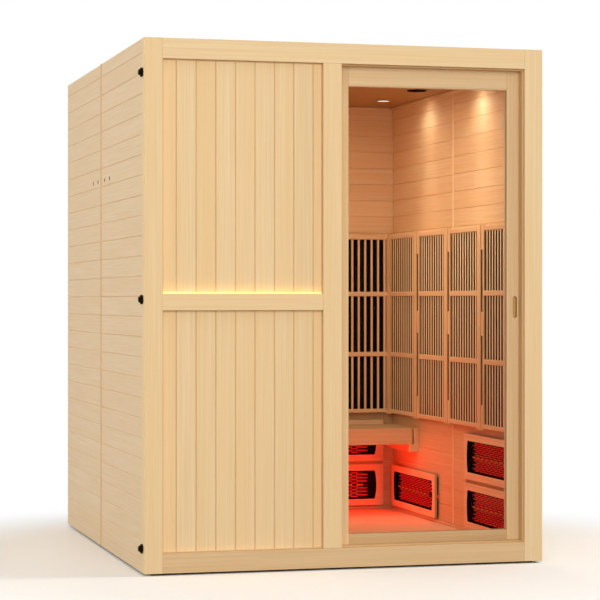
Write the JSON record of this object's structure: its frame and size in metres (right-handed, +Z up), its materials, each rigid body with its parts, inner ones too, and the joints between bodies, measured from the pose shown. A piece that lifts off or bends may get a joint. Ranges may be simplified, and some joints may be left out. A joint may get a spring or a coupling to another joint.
{
  "type": "infrared sauna cabin",
  "caption": "Free-standing wooden infrared sauna cabin with a sliding glass door, boarded walls, slatted heater guards, low red heaters and a bench along the back.",
  "frame": {"origin": "middle of the base, on the floor that the cabin stands on", "axes": "+Z up, -Y out of the front with the door, +X to the right seen from the front"},
  "size_m": [1.5168, 1.752, 1.906],
  "materials": {
    "front_wood": "clear matt lacquer on pale spruce",
    "wall_wood": "bare planed spruce",
    "door_wood": "clear matt lacquer on hemlock",
    "inside_wood": "bare planed hemlock",
    "glass": "clear toughened",
    "black_plastic": "fine moulded texture",
    "carbon": "matt coated carbon heating board",
    "dark_base": "dark stained",
    "aluminium": "extruded, anodised",
    "steel": "zinc plated",
    "nylon": "moulded",
    "grey_metal": "powder coated sheet",
    "lamp_white": "white ring with a frosted lens",
    "emitter_red": "red perforated mesh over a black tray",
    "led_glow": "frosted warm light diffuser"
  },
  "bodies": {
    "cabin": {"front_left_post": "front_wood", "front_right_post": "front_wood", "front_middle_post": "front_wood", "front_top_rail": "front_wood", "front_middle_rail": "front_wood", "front_bottom_rail": "front_wood", "front_upper_panel": "front_wood", "front_lower_panel": "front_wood", "left_wall_front": "wall_wood", "left_wall_rear": "wall_wood", "right_wall_front": "wall_wood", "right_wall_rear": "wall_wood", "back_wall": "wall_wood", "doorway_head": "door_wood", "doorway_sill": "door_wood", "doorway_jamb": "door_wood", "floor_panel": "inside_wood", "pocket_lining": "inside_wood", "track_cover": "inside_wood", "roof_panel": "inside_wood", "bench_seat": "inside_wood", "bench_fascia": "inside_wood", "bench_support_left": "inside_wood", "bench_support_right": "inside_wood", "back_guard": "inside_wood", "left_guard": "inside_wood", "right_guard": "inside_wood", "back_heater_frame": "inside_wood", "right_corner_heater_frame": "inside_wood", "right_front_heater_frame": "inside_wood", "door_floor_guide": "black_plastic", "speaker": "black_plastic", "control_panel": "black_plastic", "back_carbon_panel": "carbon", "left_carbon_panel": "carbon", "right_carbon_panel": "carbon", "base_frame": "dark_base", "door_track": "aluminium", "power_unit": "grey_metal", "downlight_rear": "lamp_white", "downlight_front": "lamp_white", "back_heater_emitter": "emitter_red", "right_corner_heater_emitter": "emitter_red", "right_front_heater_emitter": "emitter_red", "led_strip": "led_glow"},
    "door": {"door_left_stile": "door_wood", "door_right_stile": "door_wood", "door_top_rail": "door_wood", "door_bottom_rail": "door_wood", "door_glass": "glass", "door_hanger_left": "steel", "door_hanger_right": "steel"},
    "wheel_left": {"door_wheel_left": "nylon"},
    "wheel_right": {"door_wheel_right": "nylon"},
    "left_lower_knob": {"left_lower_knob": "black_plastic"},
    "left_middle_knob": {"left_middle_knob": "black_plastic"},
    "left_upper_knob": {"left_upper_knob": "black_plastic"}
  },
  "joints": [
    {"name": "door_slide", "type": "slide", "parent": "cabin", "child": "door", "axis": [-1, 0, 0], "range_m": [0, 0.635]},
    {"name": "wheel_left_roll", "type": "hinge", "parent": "door", "child": "wheel_left", "pos_m": [0.065, -0.8172, 1.8523], "axis": [0, -1, 0], "range_deg": [0, 2430]},
    {"name": "wheel_right_roll", "type": "hinge", "parent": "door", "child": "wheel_right", "pos_m": [0.58, -0.8172, 1.8523], "axis": [0, -1, 0], "range_deg": [0, 2430]},
    {"name": "left_lower_knob_turn", "type": "hinge", "parent": "cabin", "child": "left_lower_knob", "pos_m": [-0.7503, -0.843, 0.095], "axis": [-1, 0, 0], "continuous": true},
    {"name": "left_middle_knob_turn", "type": "hinge", "parent": "cabin", "child": "left_middle_knob", "pos_m": [-0.7503, -0.843, 0.977], "axis": [-1, 0, 0], "continuous": true},
    {"name": "left_upper_knob_turn", "type": "hinge", "parent": "cabin", "child": "left_upper_knob", "pos_m": [-0.7503, -0.843, 1.782], "axis": [-1, 0, 0], "continuous": true}
  ],
  "couplings": [
    {"joint": "wheel_left_roll", "follows": "door_slide", "rad_per_m": 66.667},
    {"joint": "wheel_right_roll", "follows": "door_slide", "rad_per_m": 66.667}
  ]
}
